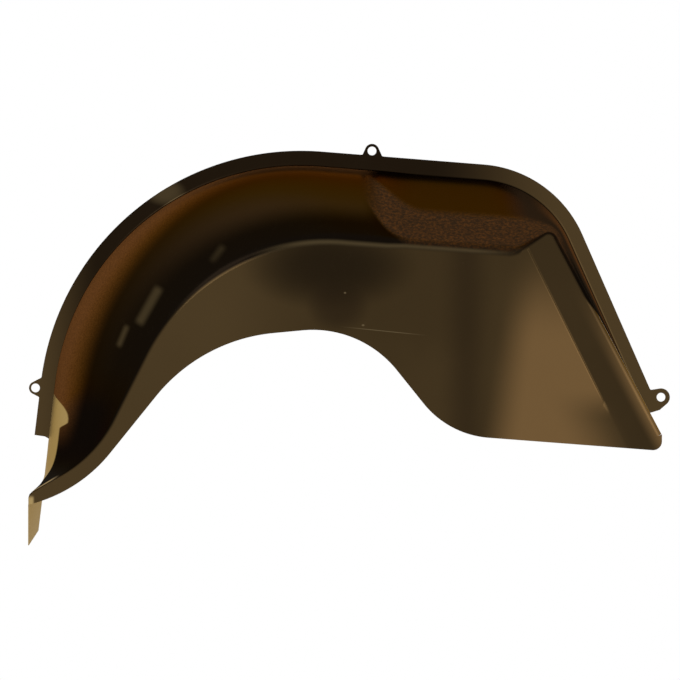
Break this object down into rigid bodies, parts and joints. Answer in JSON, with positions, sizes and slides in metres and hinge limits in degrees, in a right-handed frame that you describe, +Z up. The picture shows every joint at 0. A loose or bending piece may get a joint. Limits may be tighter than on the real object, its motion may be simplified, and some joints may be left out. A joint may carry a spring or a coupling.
{
  "type": "wheel housing panel",
  "caption": "Pressed steel wheel housing panel: a deep-drawn arch with a rim flange, fixing tabs, a flat outer face and an arched wheel opening.",
  "frame": {"origin": "centre of the locating hole in the top tab, on the back face of the rim flange", "axes": "+X along the car, +Y the press direction out of the back of the flange towards the body it is fixed to, +Z up as fitted"},
  "size_m": [1.089, 0.19, 0.657],
  "materials": {
    "coated_steel": "gloss dark bronze coat with scuffs"
  },
  "bodies": {
    "root": {"wheel_housing_panel": "coated_steel"}
  },
  "joints": []
}
